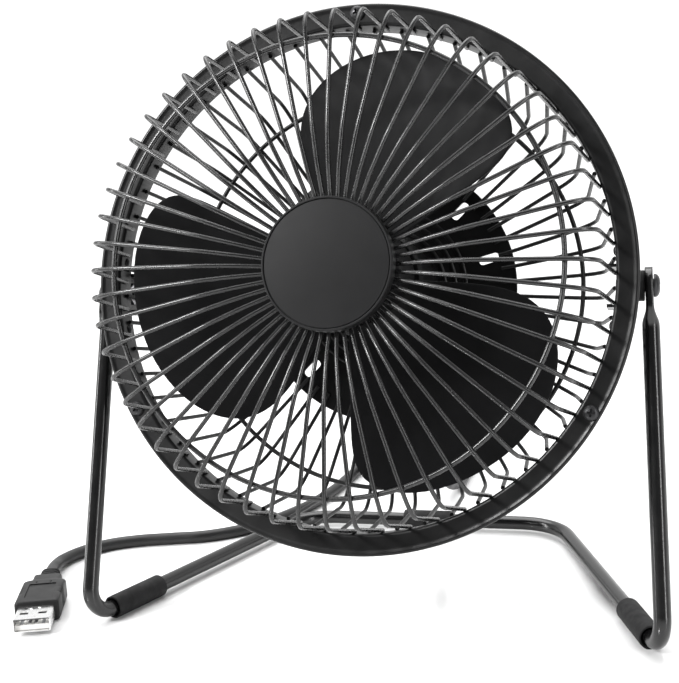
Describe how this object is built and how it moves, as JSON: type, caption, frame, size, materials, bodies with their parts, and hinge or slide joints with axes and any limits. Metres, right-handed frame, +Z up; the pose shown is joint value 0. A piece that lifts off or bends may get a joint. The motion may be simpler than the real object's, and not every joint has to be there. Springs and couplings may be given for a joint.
{
  "type": "desk fan",
  "caption": "Small desk fan: wire-caged head with a round hoop, bladed rotor and motor, tilting on a bent-tube stand, with a USB lead.",
  "frame": {"origin": "on the surface the fan stands on, under the middle of the fan without its lead", "axes": "+X to the fan's right seen from in front of it, +Y towards the rear, +Z up; the fan blows towards -Y, tilted up"},
  "size_m": [0.2245, 0.2771, 0.1953],
  "materials": {
    "black_paint": "semi-gloss powder coat",
    "wire_paint": "gloss powder coat",
    "cap_plastic": "satin",
    "black_plastic": "fine texture",
    "blade_plastic": "satin",
    "rubber": "matte",
    "cord_jacket": "soft matte jacket",
    "black_screws": "black oxide",
    "bare_steel": "plated",
    "plug_steel": "nickel plated",
    "tongue_plastic": "satin white"
  },
  "bodies": {
    "stand": {"stand_tube": "black_paint", "foot_left": "rubber", "foot_right": "rubber", "foot_rear": "rubber", "cord_drop": "cord_jacket", "cord_coil": "cord_jacket", "cord_tie": "black_plastic", "cord_lead": "cord_jacket", "plug_relief": "rubber", "plug_body": "black_plastic", "plug_shell": "plug_steel", "plug_tongue": "tongue_plastic"},
    "head": {"hoop": "black_paint", "flange_screws": "black_screws", "bracket_left": "black_paint", "bracket_right": "black_paint", "bracket_rivets": "black_screws", "pivot_bolt_left": "black_screws", "pivot_bolt_right": "black_screws", "spacer_left": "black_screws", "spacer_right": "black_screws", "pivot_nut_left": "bare_steel", "pivot_nut_right": "bare_steel", "front_wires": "wire_paint", "front_ring": "wire_paint", "front_hub_plate": "black_paint", "hub_cap": "cap_plastic", "rear_wires": "wire_paint", "rear_ring": "wire_paint", "rear_plate": "black_paint", "motor_case": "black_paint", "motor_screws": "bare_steel", "rear_cover": "black_plastic", "cover_screws": "black_screws", "switch_bezel": "black_plastic", "cord_gland": "rubber"},
    "rotor": {"motor_shaft": "bare_steel", "impeller_hub": "blade_plastic", "blade_1": "blade_plastic", "blade_2": "blade_plastic", "blade_3": "blade_plastic"},
    "rocker": {"switch_rocker": "black_plastic"}
  },
  "joints": [
    {"name": "head_tilt", "type": "hinge", "parent": "stand", "child": "head", "pos_m": [0, -0.0175, 0.107], "axis": [-1, 0, 0], "range_deg": [-35, 60], "deforming": ["cord_drop"]},
    {"name": "rotor_spin", "type": "hinge", "parent": "head", "child": "rotor", "pos_m": [0, -0.02848, 0.1127], "axis": [0, -0.9728, 0.2317], "continuous": true},
    {"name": "rocker_press", "type": "hinge", "parent": "head", "child": "rocker", "pos_m": [0, 0.02789, 0.10852], "axis": [0, 0.2317, 0.9728], "range_deg": [0, 16]}
  ]
}
